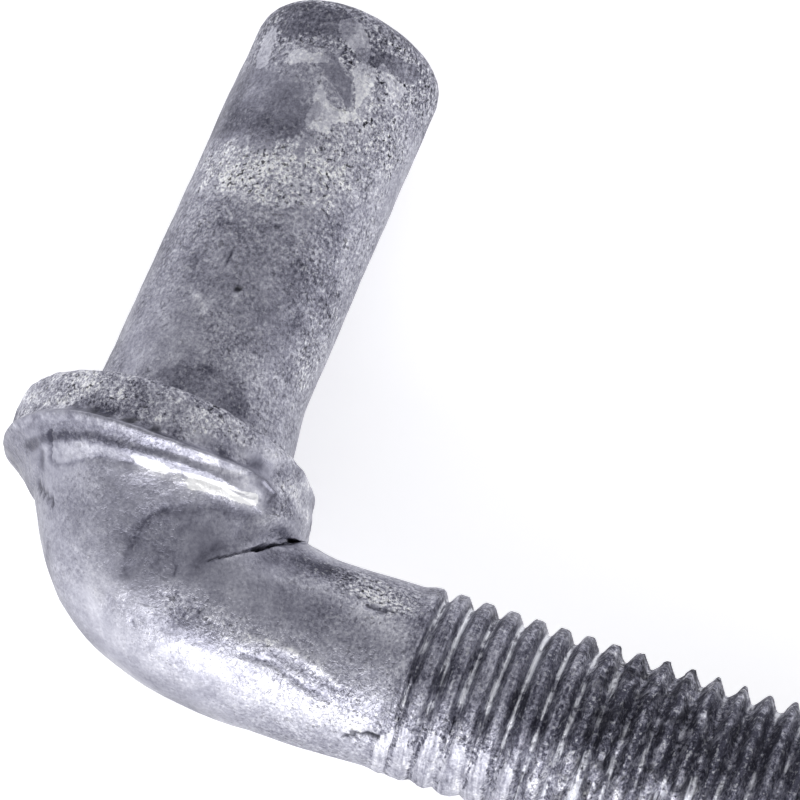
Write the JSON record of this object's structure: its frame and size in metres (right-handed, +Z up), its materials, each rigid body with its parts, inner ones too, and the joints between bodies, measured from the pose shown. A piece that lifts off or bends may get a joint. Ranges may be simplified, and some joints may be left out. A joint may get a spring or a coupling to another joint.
{
  "type": "j bolt",
  "caption": "Forged gate hinge bolt: a round-ended pin stands on a collar, square to a threaded shank that goes through the post.",
  "frame": {"origin": "middle of the bounding box, on the ground that the bolt lies on", "axes": "+X along the shank towards its free end as seen from above, +Y on the pintle's side, +Z up from the ground"},
  "size_m": [0.168, 0.074, 0.0312],
  "materials": {
    "galvanised_steel": "hot-dip galvanised, weathered"
  },
  "bodies": {
    "root": {"j_bolt": "galvanised_steel"}
  },
  "joints": []
}
